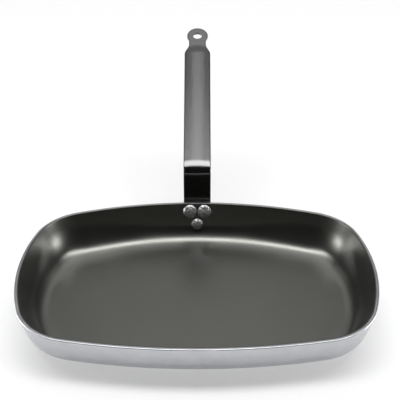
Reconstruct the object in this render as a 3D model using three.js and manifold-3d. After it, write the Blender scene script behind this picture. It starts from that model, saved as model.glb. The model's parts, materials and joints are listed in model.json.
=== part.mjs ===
// Rectangular roasting pan with a riveted strip handle, in millimetres with +Z up.
// The origin is the middle of the base, X runs along the pan and +Y points to the handle.

import * as THREE from 'three';
import { mergeVertices } from 'three/addons/utils/BufferGeometryUtils.js';
import Module from 'manifold-3d';

const wasm = await Module();
wasm.setup();

const { degToRad, smoothstep, lerp, clamp } = THREE.MathUtils;

// Pan body, pressed from one sheet
const PAN_LENGTH = 384;
const PAN_WIDTH = 264.5;
const PAN_HEIGHT = 45;
const FRONT_BOW = 29;
const BACK_BOW = 43;
const SHORT_SIDE_BOW = 40;
const CORNER_RADIUS = 66;
const WALL_THICKNESS = 4;
const FLOOR_THICKNESS = 2.5;
const WALL_SLOPE = degToRad(15);
const FLOOR_FILLET = 22;
const BASE_EDGE_ROUND = 29;
const RIM_EDGE_ROUND = 0.8;

// Non-stick coating, thicker than the real film so that it is a solid
const COATING_THICKNESS = 0.4;
const COATING_GAP = 0.1;

// Handle, one bent strip: tang on the wall, upright, bend, grip and hanging eye
const STRIP_WIDTH = 32.5;
const STRIP_THICKNESS = 3.5;
const STRIP_EDGE_ROUND = 1.2;
const STRIP_CROWN = 1.2;
const TANG_END_MARGIN = 8.5;
const TANG_CORNER_RADIUS = 10;
const TANG_ABOVE_RIM = 2;
const UPRIGHT_LEAN = degToRad(2);
const UPRIGHT_BEND_RADIUS = 25;
const UPRIGHT_LENGTH = 28.2;
const GRIP_BEND_RADIUS = 9;
const GRIP_EASE_RADIUS = 55;
const GRIP_EASE_SLOPE = degToRad(32);
const GRIP_START_SLOPE = degToRad(22);
const GRIP_END_SLOPE = degToRad(21);
const GRIP_LENGTH = 232.5;
const GRIP_END_WIDTH = 34;
const EYE_WIDTH = 27.8;
const EYE_TIP_REACH = 15.5;
const EYE_HOLE_DIAMETER = 12;
const TIP_FLAT = 1.2;
const NECK_WIDTH = 22.5;
const NECK_LENGTH = 17;
const SHOULDER_LENGTH = 18;

// Rivets: two side by side under the rim and a smaller one in a row below them
const UPPER_RIVET_DROP = 11;
const UPPER_HEAD_GAP = 0.9;
const RIVET_ROW_PITCH = 15.6;
const UPPER_HEAD_DIAMETER = 16.3;
const LOWER_HEAD_DIAMETER = 14;
const HEAD_EDGE = 0.7;
const HEAD_DOME = 3;
const FORMED_HEAD_DIAMETER = 10.5;
const FORMED_HEAD_EDGE = 0.5;
const FORMED_HEAD_DOME = 1.8;
const SHANK_DIAMETER = 6;

// Clearances
const SEAT_GAP = 0.3;
const SHANK_CLEARANCE = 0.3;

// Fineness of the facets
const CORNER_STEPS = 10;
const LONG_SIDE_STEPS = 16;
const SHORT_SIDE_STEPS = 8;
const FILLET_STEPS = 5;
const DOME_STEPS = 4;
const EDGE_STEPS = 2;
const FACE_STEPS = 6;
const TANG_STEPS = 4;
const STRAIGHT_STEPS = 3;
const BEND_STEPS = 6;
const GRIP_STEPS = 10;
const EYE_STEPS = 12;
const ROUND_STEPS = 24;

// The rim's plan is eight tangent arcs: two long sides, two short sides and four corners.
// A side's arc has fallen by its bow where it would meet the pan's ends. The back bows more than
// the front, and both long sides are drawn at +Y here.
const sideRadius = (halfChord, bow) => (halfChord ** 2 + bow ** 2) / (2 * bow);
const shortRadius = sideRadius(PAN_WIDTH / 2, SHORT_SIDE_BOW);
const shortCentre = new THREE.Vector2(PAN_LENGTH / 2 - shortRadius, 0);

function longSide(bow) {
  const radius = sideRadius(PAN_LENGTH / 2, bow);
  return { radius, centre: new THREE.Vector2(0, PAN_WIDTH / 2 - radius) };
}

const backSide = longSide(BACK_BOW);
const frontSide = longSide(FRONT_BOW);

// A corner arc's centre is where two circles cross, each a corner radius inside its side's arc.
function crossingOfCircles(centreA, radiusA, centreB, radiusB) {
  const axis = centreB.clone().sub(centreA);
  const distance = axis.length();
  const along = (distance ** 2 + radiusA ** 2 - radiusB ** 2) / (2 * distance);
  const aside = Math.sqrt(radiusA ** 2 - along ** 2);
  axis.normalize();
  const side = new THREE.Vector2(axis.y, -axis.x);
  return centreA.clone().addScaledVector(axis, along).addScaledVector(side, aside);
}

// A long side's corner arc: its centre, and where it runs into the short and the long side
function cornerOf({ radius, centre }) {
  const middle = crossingOfCircles(
    centre, radius - CORNER_RADIUS, shortCentre, shortRadius - CORNER_RADIUS);
  const shortEnd = middle.clone().sub(shortCentre).angle();
  return { middle, shortEnd, longEnd: middle.clone().sub(centre).angle() };
}

// Stations round the plan, each an arc's centre and radius and the direction of the outward normal
function planStations() {
  const back = cornerOf(backSide);
  const front = cornerOf(frontSide);
  const cornerArc = ({ middle }, sx, sy, from, to) =>
    ({ x: sx * middle.x, y: sy * middle.y, radius: CORNER_RADIUS, from, to, steps: CORNER_STEPS });
  const longArc = ({ radius, centre }, sy, from, to) =>
    ({ x: 0, y: sy * centre.y, radius, from, to, steps: LONG_SIDE_STEPS });
  const shortArc = (sx, from, to) =>
    ({ x: sx * shortCentre.x, y: 0, radius: shortRadius, from, to, steps: SHORT_SIDE_STEPS });
  const halfTurn = Math.PI;
  const fullTurn = 2 * Math.PI;
  const arcs = [
    shortArc(1, -front.shortEnd, back.shortEnd),
    cornerArc(back, 1, 1, back.shortEnd, back.longEnd),
    longArc(backSide, 1, back.longEnd, halfTurn - back.longEnd),
    cornerArc(back, -1, 1, halfTurn - back.longEnd, halfTurn - back.shortEnd),
    shortArc(-1, halfTurn - back.shortEnd, halfTurn + front.shortEnd),
    cornerArc(front, -1, -1, halfTurn + front.shortEnd, halfTurn + front.longEnd),
    longArc(frontSide, -1, halfTurn + front.longEnd, fullTurn - front.longEnd),
    cornerArc(front, 1, -1, fullTurn - front.longEnd, fullTurn - front.shortEnd),
  ];
  return arcs.flatMap(({ x, y, radius, from, to, steps }) =>
    Array.from({ length: steps }, (_, i) => ({ x, y, radius, angle: lerp(from, to, i / steps) })));
}

const stations = planStations();

// An inset outline keeps the arcs' centres, and only their radii shrink.
function planRing(inset, z) {
  return stations.map(({ x, y, radius, angle }) => new THREE.Vector3(
    x + (radius - inset) * Math.cos(angle),
    y + (radius - inset) * Math.sin(angle),
    z));
}

// Wall and floor edge of a surface that lies a given distance inside the pan's outer skin,
// as inset and depth below the rim: a straight sloping wall, then a fillet tangent to the floor.
// The skin's floor has its own height above the base, because the floor is thinner than the wall.
const floorHeight = (inside) => inside - WALL_THICKNESS + FLOOR_THICKNESS;

function skinProfile(inside, height = floorHeight(inside), fillet = FLOOR_FILLET + WALL_THICKNESS - inside) {
  const centreDepth = PAN_HEIGHT - height - fillet;
  const rimInset = inside / Math.cos(WALL_SLOPE);
  const centreInset = rimInset + (fillet + Math.sin(WALL_SLOPE) * centreDepth) / Math.cos(WALL_SLOPE);
  const curve = Array.from({ length: FILLET_STEPS + 1 }, (_, i) => {
    const turn = lerp(WALL_SLOPE, Math.PI / 2, i / FILLET_STEPS);
    return new THREE.Vector2(centreInset - fillet * Math.cos(turn), centreDepth + fillet * Math.sin(turn));
  });
  return [new THREE.Vector2(rimInset, 0), ...curve];
}

// The rim's outer edge is eased from the wall onto the flat top.
function easedRim(profile) {
  const [corner, next] = profile;
  const onWall = next.clone().sub(corner).setLength(RIM_EDGE_ROUND).add(corner);
  const onTop = corner.clone().add(new THREE.Vector2(RIM_EDGE_ROUND, 0));
  const edge = new THREE.QuadraticBezierCurve(onTop, corner, onWall).getPoints(EDGE_STEPS);
  return [...edge, ...profile.slice(1)];
}

// Skin through rings of equal count, with each end closed by a fan about its middle
function loft(rings) {
  const count = rings[0].length;
  const ends = [rings[0], rings[rings.length - 1]];
  const middles = ends.map((ring) =>
    ring.reduce((sum, point) => sum.add(point), new THREE.Vector3()).divideScalar(count));
  const points = [...rings.flat(), ...middles];
  const [firstMiddle, lastMiddle] = [points.length - 2, points.length - 1];
  const lastRing = (rings.length - 1) * count;
  const index = [];
  for (let j = 0; j < count; j += 1) {
    const k = (j + 1) % count;
    for (let low = 0; low < lastRing; low += count) {
      const high = low + count;
      index.push(low + j, low + k, high + k, low + j, high + k, high + j);
    }
    index.push(firstMiddle, k, j, lastMiddle, lastRing + j, lastRing + k);
  }
  const geometry = new THREE.BufferGeometry().setFromPoints(points);
  geometry.setIndex(index);
  return geometry;
}

// Shell between two skins of the pan, from the underside's middle over the rim to the floor's middle
function panShell(outerProfile, innerProfile) {
  const ring = ({ x: inset, y: depth }) => planRing(inset, PAN_HEIGHT - depth);
  return loft([...outerProfile.slice().reverse().map(ring), ...innerProfile.map(ring)]);
}

// Boolean cuts on closed meshes with shared vertices
function toSolid(geometry) {
  const bare = geometry.clone();
  bare.deleteAttribute('normal');
  bare.deleteAttribute('uv');
  const merged = mergeVertices(bare);
  return new wasm.Manifold(new wasm.Mesh({
    numProp: 3,
    vertProperties: new Float32Array(merged.attributes.position.array),
    triVerts: new Uint32Array(merged.index.array),
  }));
}

function cut(geometry, cutters) {
  const solid = cutters.reduce((rest, cutter) => rest.subtract(toSolid(cutter)), toSolid(geometry));
  const { vertProperties, triVerts } = solid.getMesh();
  const result = new THREE.BufferGeometry();
  result.setAttribute('position', new THREE.BufferAttribute(vertProperties, 3));
  result.setIndex(new THREE.BufferAttribute(triVerts, 1));
  return result;
}

// Frame on the back wall: its origin is the rim's outer edge, +Y points straight out of the wall
// and +Z runs up along it.
const wallFrame = new THREE.Group();
wallFrame.position.set(0, PAN_WIDTH / 2, PAN_HEIGHT);
wallFrame.rotation.x = -WALL_SLOPE;
wallFrame.updateMatrixWorld();

const coatingOuter = WALL_THICKNESS + COATING_GAP;
const coatingInner = coatingOuter + COATING_THICKNESS;

const upperRivetX = (UPPER_HEAD_DIAMETER + UPPER_HEAD_GAP) / 2;
const lowerRivetDrop = UPPER_RIVET_DROP + RIVET_ROW_PITCH;
const rivetPlaces = [
  { name: 'rivet_upper_left', x: -upperRivetX, drop: UPPER_RIVET_DROP, head: UPPER_HEAD_DIAMETER },
  { name: 'rivet_upper_right', x: upperRivetX, drop: UPPER_RIVET_DROP, head: UPPER_HEAD_DIAMETER },
  { name: 'rivet_lower', x: 0, drop: lowerRivetDrop, head: LOWER_HEAD_DIAMETER },
];

// How far the coated wall stands in under a rivet head's far edge: the bowed side leans in as it
// leaves the middle, and the floor fillet leans in below the straight wall.
function wallStandIn({ x, drop, head }) {
  const side = Math.abs(x) + head / 2;
  const bowRadius = backSide.radius - coatingInner;
  const bow = bowRadius - Math.sqrt(bowRadius ** 2 - side ** 2);
  const [rim, foot] = skinProfile(coatingInner);
  const straight = coatingInner * Math.tan(WALL_SLOPE) + foot.distanceTo(rim);
  const fillet = FLOOR_FILLET + WALL_THICKNESS - coatingInner;
  const past = Math.max(0, drop + head / 2 - straight);
  return bow + fillet - Math.sqrt(fillet ** 2 - past ** 2);
}

// Where a rivet's two heads sit, measured outwards from the wall's outer skin
const headSeat = (place) => -(coatingInner + SEAT_GAP + wallStandIn(place));
const formedSeat = SEAT_GAP + STRIP_THICKNESS + SEAT_GAP;

// Half outline of a head with a short straight edge and a round top, from the axis to its seat
function headProfile(diameter, edge, dome, seat, direction) {
  const radius = diameter / 2;
  const sphere = (radius ** 2 + dome ** 2) / (2 * dome);
  const reach = Math.asin(radius / sphere);
  const top = Array.from({ length: DOME_STEPS + 1 }, (_, i) => {
    const turn = reach * i / DOME_STEPS;
    const rise = edge + dome - sphere * (1 - Math.cos(turn));
    return new THREE.Vector2(sphere * Math.sin(turn), seat + direction * rise);
  });
  return [...top, new THREE.Vector2(radius, seat)];
}

// Rivet revolved about its shank: domed head inside the pan, flatter formed head behind the strip
function rivet(place) {
  const shank = SHANK_DIAMETER / 2;
  const seat = headSeat(place);
  return new THREE.LatheGeometry([
    ...headProfile(place.head, HEAD_EDGE, HEAD_DOME, seat, -1),
    new THREE.Vector2(shank, seat),
    new THREE.Vector2(shank, formedSeat),
    ...headProfile(FORMED_HEAD_DIAMETER, FORMED_HEAD_EDGE, FORMED_HEAD_DOME, formedSeat, 1).reverse(),
  ], ROUND_STEPS);
}

// Straight cutter for one rivet's hole, as long as the rivet itself
function rivetHole(place) {
  const from = headSeat(place) - HEAD_EDGE - HEAD_DOME;
  const to = formedSeat + FORMED_HEAD_EDGE + FORMED_HEAD_DOME;
  const radius = SHANK_DIAMETER / 2 + SHANK_CLEARANCE;
  const hole = new THREE.CylinderGeometry(radius, radius, to - from, ROUND_STEPS);
  return hole.translate(place.x, (from + to) / 2, -place.drop).applyMatrix4(wallFrame.matrixWorld);
}

const rivetHoles = rivetPlaces.map(rivetHole);

// The strip's middle line lies in the plane x = 0, as legs that each turn steadily to a heading.
const tangBelowRim = lowerRivetDrop + TANG_END_MARGIN;
const tangLength = tangBelowRim + TANG_ABOVE_RIM;
const tangHeading = Math.PI / 2 - WALL_SLOPE;
const uprightHeading = Math.PI / 2 - UPRIGHT_LEAN;
const legs = [
  { length: tangLength, heading: tangHeading },
  { length: UPRIGHT_BEND_RADIUS * Math.abs(uprightHeading - tangHeading), heading: uprightHeading },
  { length: UPRIGHT_LENGTH, heading: uprightHeading },
  { length: GRIP_BEND_RADIUS * Math.abs(uprightHeading - GRIP_EASE_SLOPE), heading: GRIP_EASE_SLOPE },
  { length: GRIP_EASE_RADIUS * Math.abs(GRIP_EASE_SLOPE - GRIP_START_SLOPE), heading: GRIP_START_SLOPE },
  { length: GRIP_LENGTH, heading: GRIP_END_SLOPE },
];

const tangEnd = wallFrame.localToWorld(new THREE.Vector3(
  0, SEAT_GAP + STRIP_THICKNESS / 2, -tangBelowRim));

// Point and heading at a distance from the tang's end: each leg's arc is walked along its chord.
function stripMiddle(distance) {
  const point = tangEnd.clone();
  let heading = tangHeading;
  let rest = distance;
  for (const leg of legs) {
    const walked = Math.min(rest, leg.length);
    const halfTurn = (leg.heading - heading) * walked / leg.length / 2;
    const chord = halfTurn === 0 ? walked : walked * Math.sin(halfTurn) / halfTurn;
    const direction = heading + halfTurn;
    point.add(new THREE.Vector3(0, Math.cos(direction), Math.sin(direction)).multiplyScalar(chord));
    heading += 2 * halfTurn;
    rest -= walked;
  }
  return { point, heading };
}

// Distances from the tang's end to where the strip's form changes
const [uprightBendAt, uprightAt, gripBendAt, gripEaseAt, gripAt, tipAt] = legs.map((_, i) =>
  legs.slice(0, i + 1).reduce((sum, leg) => sum + leg.length, 0));
const eyeRadius = EYE_WIDTH / 2;
const neckHalf = NECK_WIDTH / 2;
const eyeAt = tipAt - EYE_TIP_REACH;
const neckAt = eyeAt - NECK_LENGTH;
const shoulderAt = neckAt - SHOULDER_LENGTH;

// The eye's ring is round towards the neck and drawn out to an oval towards the tip.
const ringReach = (side) => (side > 0 ? EYE_TIP_REACH : eyeRadius);

// Half the strip's width: round corners on the tang, a grip that widens a little towards its end,
// shoulders down to the neck, then the eye's ring
function stripHalfWidth(distance) {
  const widening = clamp((distance - gripAt) / (shoulderAt - gripAt), 0, 1);
  const half = lerp(STRIP_WIDTH, GRIP_END_WIDTH, widening) / 2;
  const intoCorner = TANG_CORNER_RADIUS - Math.min(distance, TANG_CORNER_RADIUS);
  const tang = half - TANG_CORNER_RADIUS + Math.sqrt(TANG_CORNER_RADIUS ** 2 - intoCorner ** 2);
  const pastEye = (distance - eyeAt) / ringReach(distance - eyeAt);
  const ring = eyeRadius * Math.sqrt(Math.max(0, 1 - pastEye ** 2));
  if (distance > eyeAt) {
    return ring;
  }
  const neck = lerp(half, neckHalf, smoothstep(distance, shoulderAt, neckAt));
  return Math.max(ring, Math.min(tang, neck));
}

// The strip is flat on the wall, crowned after the upright and slowly flat again towards the eye.
function stripCrown(distance) {
  const rise = smoothstep(distance, uprightAt, gripBendAt);
  return STRIP_CROWN * rise * (1 - smoothstep(distance, gripAt, neckAt));
}

// Cross-section with eased edges, walked across the upper face, round the right edge,
// back along the lower face and round the left edge, then lifted by the crown
function stripSection(distance) {
  const half = stripHalfWidth(distance);
  const flat = half - STRIP_EDGE_ROUND;
  const level = STRIP_THICKNESS / 2 - STRIP_EDGE_ROUND;
  const face = (side) => Array.from({ length: FACE_STEPS - 1 }, (_, i) =>
    [side * lerp(-flat, flat, (i + 1) / FACE_STEPS), side * STRIP_THICKNESS / 2]);
  const corner = (side, upper, from) => Array.from({ length: EDGE_STEPS + 1 }, (_, i) => {
    const turn = from - Math.PI / 2 * i / EDGE_STEPS;
    const across = side * flat + STRIP_EDGE_ROUND * Math.cos(turn);
    return [across, upper * level + STRIP_EDGE_ROUND * Math.sin(turn)];
  });
  const outline = [
    ...face(1),
    ...corner(1, 1, Math.PI / 2),
    ...corner(1, -1, 0),
    ...face(-1),
    ...corner(-1, -1, -Math.PI / 2),
    ...corner(-1, 1, -Math.PI),
  ];
  const crown = stripCrown(distance);
  const { point, heading } = stripMiddle(distance);
  const normal = new THREE.Vector3(0, -Math.sin(heading), Math.cos(heading));
  return outline.map(([across, up]) => {
    const lift = up + crown * (1 - (across / half) ** 2);
    return new THREE.Vector3(across, 0, 0).add(point).addScaledVector(normal, lift);
  });
}

// Distances at which the strip's sections stand, closer where it bends or narrows
function stripStations() {
  const spread = (from, to, steps) => Array.from({ length: steps }, (_, i) => lerp(from, to, i / steps));
  const tangCorner = spread(0, Math.PI / 2, TANG_STEPS).map((turn) =>
    TANG_CORNER_RADIUS * (1 - Math.cos(turn)));
  const ringFrom = Math.PI - Math.asin(Math.min(1, neckHalf / eyeRadius));
  const ringTo = Math.asin((STRIP_EDGE_ROUND + TIP_FLAT / 2) / eyeRadius);
  const ring = [...spread(ringFrom, ringTo, EYE_STEPS), ringTo].map((turn) =>
    eyeAt + ringReach(Math.cos(turn)) * Math.cos(turn));
  return [
    ...tangCorner,
    ...spread(TANG_CORNER_RADIUS, uprightBendAt, STRAIGHT_STEPS),
    ...spread(uprightBendAt, uprightAt, BEND_STEPS / 2),
    ...spread(uprightAt, gripBendAt, STRAIGHT_STEPS),
    ...spread(gripBendAt, gripEaseAt, BEND_STEPS),
    ...spread(gripEaseAt, gripAt, BEND_STEPS / 2),
    ...spread(gripAt, shoulderAt, GRIP_STEPS),
    ...spread(shoulderAt, neckAt, BEND_STEPS),
    neckAt,
    ...ring,
  ];
}

// Straight cutter for the hanging hole, square to the strip at the eye
function eyeHole() {
  const { point, heading } = stripMiddle(eyeAt);
  const radius = EYE_HOLE_DIAMETER / 2;
  const hole = new THREE.CylinderGeometry(radius, radius, EYE_WIDTH, ROUND_STEPS);
  return hole.rotateX(heading + Math.PI / 2).translate(point.x, point.y, point.z);
}

const satinAluminium = new THREE.MeshStandardMaterial({ color: 0xbfc2c9, roughness: 0.38, metalness: 1 });
const darkCoating = new THREE.MeshStandardMaterial({ color: 0x2e2e2c, roughness: 0.42, metalness: 0 });
const lacqueredSteel = new THREE.MeshStandardMaterial({ color: 0x1c1c1d, roughness: 0.4, metalness: 0 });
const rivetAluminium = new THREE.MeshStandardMaterial({ color: 0xc9cac8, roughness: 0.28, metalness: 1 });

function part(name, geometry, material) {
  const mesh = new THREE.Mesh(geometry, material);
  mesh.name = name;
  return mesh;
}

const bodyBlank = panShell(easedRim(skinProfile(0, 0, BASE_EDGE_ROUND)), skinProfile(WALL_THICKNESS));
const coatingBlank = panShell(skinProfile(coatingOuter), skinProfile(coatingInner));
const stripBlank = loft(stripStations().map(stripSection));

for (const place of rivetPlaces) {
  const fastener = part(place.name, rivet(place), rivetAluminium.clone());
  fastener.position.set(place.x, 0, -place.drop);
  wallFrame.add(fastener);
}

const roastingPan = new THREE.Group();
roastingPan.add(
  part('pan_body', cut(bodyBlank, rivetHoles), satinAluminium),
  part('nonstick_coating', cut(coatingBlank, rivetHoles), darkCoating),
  part('handle_strip', cut(stripBlank, [...rivetHoles, eyeHole()]), lacqueredSteel),
  wallFrame,
);

export default roastingPan;
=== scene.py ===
# %% [markdown]
# # A rectangular roasting pan with a strip handle
# The pan is one pressed aluminium tray with a dark non-stick film inside, and a bent steel strip is
# held to its back wall by three rivets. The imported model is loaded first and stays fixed, and every
# visible piece is then worked out again as a finer surface in the same place. Lengths are written
# in millimetres and turned to metres once, when a mesh is made.

# %% Load the fixed frame
import json
import bmesh
import bpy
import numpy as np
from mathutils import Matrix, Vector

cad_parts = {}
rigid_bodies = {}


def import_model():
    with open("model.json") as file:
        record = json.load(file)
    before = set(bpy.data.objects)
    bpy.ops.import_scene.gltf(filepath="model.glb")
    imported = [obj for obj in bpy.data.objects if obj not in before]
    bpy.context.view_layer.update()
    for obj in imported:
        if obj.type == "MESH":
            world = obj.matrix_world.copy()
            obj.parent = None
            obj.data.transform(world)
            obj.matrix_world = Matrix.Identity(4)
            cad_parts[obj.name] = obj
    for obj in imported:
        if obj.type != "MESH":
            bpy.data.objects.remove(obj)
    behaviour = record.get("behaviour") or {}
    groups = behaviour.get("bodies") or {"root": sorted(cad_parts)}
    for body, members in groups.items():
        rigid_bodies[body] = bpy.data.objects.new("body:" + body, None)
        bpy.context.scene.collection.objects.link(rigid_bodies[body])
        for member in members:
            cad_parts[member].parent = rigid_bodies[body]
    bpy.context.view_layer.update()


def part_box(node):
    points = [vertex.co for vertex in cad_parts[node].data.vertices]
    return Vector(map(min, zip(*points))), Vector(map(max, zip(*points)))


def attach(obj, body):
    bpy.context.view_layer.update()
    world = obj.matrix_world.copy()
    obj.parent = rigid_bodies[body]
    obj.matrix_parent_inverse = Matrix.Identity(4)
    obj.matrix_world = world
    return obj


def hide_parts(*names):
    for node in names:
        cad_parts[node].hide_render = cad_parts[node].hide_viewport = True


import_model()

# %% [markdown]
# ## The sizes that drive the pan
# A pressed tray is set by a few sizes: its rim, how far each side bows, the corner radius, the
# slope of the wall and the fillet at its foot. The height is read from the frame. The rest repeats
# the sizes that the frame was built from, because a mesh no longer holds them.

# %% Sizes of the pan
MM = 0.001
PAN_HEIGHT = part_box("nonstick_coating")[1].z / MM
PAN_LENGTH, PAN_WIDTH = 384.0, 264.5
FRONT_BOW, BACK_BOW, SHORT_SIDE_BOW = 29.0, 43.0, 40.0
CORNER_RADIUS = 66.0
WALL_THICKNESS, FLOOR_THICKNESS = 4.0, 2.5
WALL_SLOPE = np.radians(15.0)
FLOOR_FILLET, BASE_EDGE_ROUND = 22.0, 29.0

pan_low, pan_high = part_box("pan_body")
print(f"pan: {PAN_LENGTH:.0f} x {PAN_WIDTH:.0f} x {PAN_HEIGHT:.1f} mm,",
      "in the frame", [round(v / MM, 1) for v in pan_high - pan_low])

# %% [markdown]
# ## The camera
# A camera that looks along +Y and down shows the pan as a person sees it at a table. The pitch and
# the focal length come from the shape of the rim: how much shorter the far side looks than the near
# one gives the distance, and how flat the oval looks gives the pitch. No shift is needed.

# %% Camera
CAMERA_PLACE = (3.4, -718.05, 571.3)
CAMERA_PITCH = np.radians(31.65)
FOCAL_LENGTH = 74.64
SENSOR_WIDTH = 36.0

lens = bpy.data.cameras.new("camera")
lens.lens = FOCAL_LENGTH
lens.sensor_width = SENSOR_WIDTH
camera = bpy.data.objects.new("camera", lens)
camera.location = [v * MM for v in CAMERA_PLACE]
camera.rotation_euler = (np.pi / 2 - CAMERA_PITCH, 0.0, 0.0)
bpy.context.scene.collection.objects.link(camera)
bpy.context.scene.camera = camera
print(f"camera: {np.degrees(CAMERA_PITCH):.1f} degrees down, {FOCAL_LENGTH} mm lens")

# %% [markdown]
# ## From a grid of points to a mesh
# Every piece here is a tube in the widest sense: rings of points that follow each other along a
# profile. One helper turns such a grid into a mesh. It joins neighbours with quads, wraps each ring
# round, closes both ends with a fan and stores how far each point lies round and along the surface
# as a UV map, so that a grain can follow the shape. The signed volume tells whether the faces point
# outwards, and they are turned round where it is negative.


# %% Rings to a closed mesh
def ring_lengths(rings):
    """Distance round the longest ring and along the profile, summed from step to step."""
    steps_round = np.linalg.norm(np.roll(rings, -1, axis=1) - rings, axis=2)
    longest = steps_round[steps_round.sum(axis=1).argmax()]
    steps_along = np.linalg.norm(np.diff(rings, axis=0), axis=2).max(axis=1)
    round_ring = np.concatenate([[0.0], np.cumsum(longest)])
    return round_ring, np.concatenate([[0.0], np.cumsum(steps_along)])


def signed_volume(points, triangles):
    """Sum over the triangles of a sixth of the product a . (b x c), for corners a, b and c."""
    a, b, c = points[triangles.T]
    return np.einsum("ij,ij->", a, np.cross(b, c)) / 6.0


def closed_piece(name, rings, fans=True):
    """Mesh object through rings of points, in millimetres.

    A fan closes each end, unless the end rings are already pressed flat like a zip."""
    count, around = rings.shape[:2]
    corner = np.arange(count * around).reshape(count, around)
    after = np.roll(corner, -1, axis=1)
    quads = np.stack([corner[:-1], after[:-1], after[1:], corner[1:]], axis=-1).reshape(-1, 4)
    middles = rings[[0, -1]].mean(axis=1)
    points = np.concatenate([rings.reshape(-1, 3), middles]) * MM
    first, last = count * around, count * around + 1
    start_fan = np.stack([after[0], corner[0], np.full(around, first)], axis=-1)
    end_fan = np.stack([corner[-1], after[-1], np.full(around, last)], axis=-1)
    ends = np.concatenate([start_fan, end_fan]) if fans else np.empty((0, 3), int)
    points = points if fans else points[:-2]
    faces = quads.tolist() + ends.tolist()
    volume = signed_volume(points, np.concatenate([quads[:, [0, 1, 2]], quads[:, [0, 2, 3]], ends]))

    u, v = (lengths * MM for lengths in ring_lengths(rings))
    u_low, u_high = np.tile(u[:-1], count - 1), np.tile(u[1:], count - 1)
    v_low, v_high = np.repeat(v[:-1], around), np.repeat(v[1:], around)
    quad_u = np.stack([u_low, u_high, u_high, u_low], axis=-1)
    quad_v = np.stack([v_low, v_low, v_high, v_high], axis=-1)
    fan_u = np.stack([u[1:], u[:-1], (u[1:] + u[:-1]) / 2], axis=-1)
    fan_u = [fan_u, fan_u[:, [1, 0, 2]]]
    fan_v = [np.full((around, 3), v[0]), np.full((around, 3), v[-1])]
    all_u = np.concatenate([quad_u.ravel(), *(f.ravel() for f in fan_u)])
    all_v = np.concatenate([quad_v.ravel(), *(f.ravel() for f in fan_v)])
    uv = np.stack([all_u, all_v], axis=-1)[:sum(map(len, faces))]

    mesh = bpy.data.meshes.new(name)
    mesh.from_pydata(points.tolist(), [], faces)
    mesh.uv_layers.new(name="surface").data.foreach_set("uv", uv.ravel())
    if volume < 0:
        mesh.flip_normals()
    mesh.shade_smooth()
    piece = bpy.data.objects.new(name, mesh)
    bpy.context.scene.collection.objects.link(piece)
    print(f"{name}: {len(faces)} faces, {abs(volume) / MM**3 / 1000:.1f} cm3")
    return piece


# %% [markdown]
# ## The rim's outline
# Seen from above, the pan is not a rectangle with rounded corners: all four sides bow outwards, and
# the back bows more than the front. Eight arcs that run into each other without a kink give that
# form, two long sides, two short sides and four corners. Every arc is described by its centre, its
# radius and the direction in which it faces, so an outline that lies further in keeps the centres
# and loses the same amount of every radius. A spline would need many hand-set points and would not
# stay parallel to itself. Each station on the outline also holds how much of a corner it is, because
# the corners have a foot of their own.


# %% Eight arcs
def side_radius(half_chord, bow):
    """Radius of an arc that falls by its bow over half a chord: (half chord^2 + bow^2) / 2 bow."""
    return (half_chord**2 + bow**2) / (2 * bow)


def crossing_of_circles(centre_a, radius_a, centre_b, radius_b):
    """The crossing of two circles on the right of the line from centre a to centre b."""
    axis = centre_b - centre_a
    distance = np.hypot(*axis)
    along = (distance**2 + radius_a**2 - radius_b**2) / (2 * distance)
    aside = np.sqrt(radius_a**2 - along**2)
    axis = axis / distance
    return centre_a + along * axis + aside * np.array([axis[1], -axis[0]])


SHORT_RADIUS = side_radius(PAN_WIDTH / 2, SHORT_SIDE_BOW)
short_centre = np.array([PAN_LENGTH / 2 - SHORT_RADIUS, 0.0])


def long_side(bow):
    """A long side drawn at +Y: its centre and radius, its corner's centre, and the directions in
    which the corner runs into the long side and into the short side."""
    radius = side_radius(PAN_LENGTH / 2, bow)
    centre = np.array([0.0, PAN_WIDTH / 2 - radius])
    corner = crossing_of_circles(centre, radius - CORNER_RADIUS,
                                 short_centre, SHORT_RADIUS - CORNER_RADIUS)
    to_long = np.arctan2(*(corner - centre)[::-1])
    to_short = np.arctan2(*(corner - short_centre)[::-1])
    return centre, radius, corner, to_long, to_short


back_centre, BACK_RADIUS, back_corner, back_long, back_short = long_side(BACK_BOW)
front_centre, FRONT_RADIUS, front_corner, front_long, front_short = long_side(FRONT_BOW)
print("radii of back, front and ends:", [round(r, 1) for r in (BACK_RADIUS, FRONT_RADIUS, SHORT_RADIUS)])

# %% Stations round the outline
LONG_STEPS, SHORT_STEPS, CORNER_STEPS = 96, 56, 40
PLAIN_SHARE = 0.25


def smooth_step(value, low, high):
    """Eased step from 0 to 1: 3t^2 - 2t^3 for t between the two ends."""
    t = np.clip((value - low) / (high - low), 0.0, 1.0)
    return t * t * (3 - 2 * t)


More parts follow.
